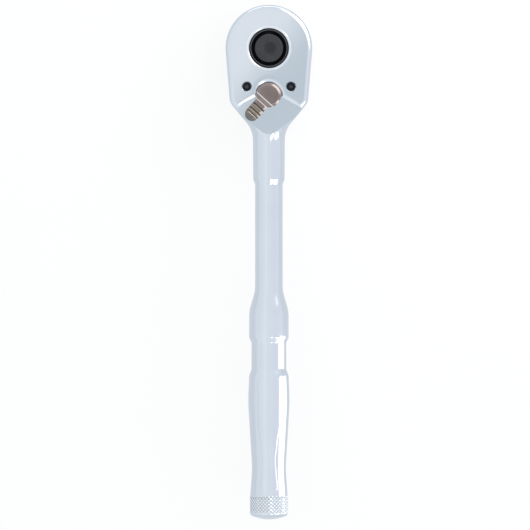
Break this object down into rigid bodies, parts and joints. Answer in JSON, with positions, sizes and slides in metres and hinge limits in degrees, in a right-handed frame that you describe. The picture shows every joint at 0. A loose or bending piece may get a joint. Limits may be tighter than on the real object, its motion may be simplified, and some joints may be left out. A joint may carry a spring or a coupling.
{
  "type": "quick-release ratchet",
  "caption": "Slim chrome socket ratchet with a round handle, square drive, push button that frees the locking ball, and a thumb lever that reverses the pawl.",
  "frame": {"origin": "centre of the drive square's tip face", "axes": "+Z along the drive axis from the tip to the release button, -Y along the handle to the end of the grip, +X to the side of the locking ball"},
  "size_m": [0.032, 0.19, 0.0281],
  "materials": {
    "chrome": "polished chrome plate",
    "black_oxide": "black oxide",
    "button_grey": "dark grey satin",
    "satin_nickel": "satin nickel",
    "bright_steel": "ground",
    "spring_steel": "oiled",
    "seal_rubber": "matt"
  },
  "bodies": {
    "handle": {"handle_body": "chrome", "cover_plate": "chrome", "cover_screw_left": "black_oxide", "cover_screw_right": "black_oxide", "pawl_pivot_pin": "bright_steel", "rear_seal_ring": "seal_rubber"},
    "drive": {"drive_anvil": "black_oxide", "thrust_washer": "bright_steel", "front_seal_ring": "seal_rubber", "button_retaining_ring": "black_oxide", "release_spring": "spring_steel"},
    "button": {"release_button": "button_grey", "release_pin": "bright_steel"},
    "ball": {"lock_ball": "bright_steel"},
    "lever": {"reverse_lever": "satin_nickel", "lever_seal_ring": "seal_rubber", "lever_retaining_clip": "spring_steel", "plunger_spring": "spring_steel"},
    "plunger": {"pawl_plunger": "bright_steel"},
    "pawl": {"pawl": "bright_steel"}
  },
  "joints": [
    {"name": "drive_spin", "type": "hinge", "parent": "handle", "child": "drive", "pos_m": [0, 0, 0], "axis": [0, 0, 1], "continuous": true},
    {"name": "button_press", "type": "slide", "parent": "drive", "child": "button", "axis": [0, 0, -1], "range_m": [0, 0.0024], "stiffness_N_per_m": 300, "springref_m": -0.005, "deforming": ["release_spring"]},
    {"name": "ball_retract", "type": "slide", "parent": "drive", "child": "ball", "axis": [-1, 0, 0], "range_m": [0, 0.0008]},
    {"name": "lever_turn", "type": "hinge", "parent": "handle", "child": "lever", "pos_m": [0, -0.0174, 0], "axis": [0, 0, 1], "range_deg": [0, 84]},
    {"name": "pawl_rock", "type": "hinge", "parent": "handle", "child": "pawl", "pos_m": [0, -0.0123, 0], "axis": [0, 0, 1], "range_deg": [-13, 0]},
    {"name": "plunger_push", "type": "slide", "parent": "lever", "child": "plunger", "axis": [-0.6691, -0.7431, 0], "range_m": [0, 0.0003], "stiffness_N_per_m": 200, "springref_m": -0.002, "deforming": ["plunger_spring"]}
  ],
  "couplings": [
    {"joint": "ball_retract", "follows": "button_press", "ratio": 0.3333},
    {"joint": "pawl_rock", "follows": "lever_turn", "ratio": -0.15476}
  ]
}
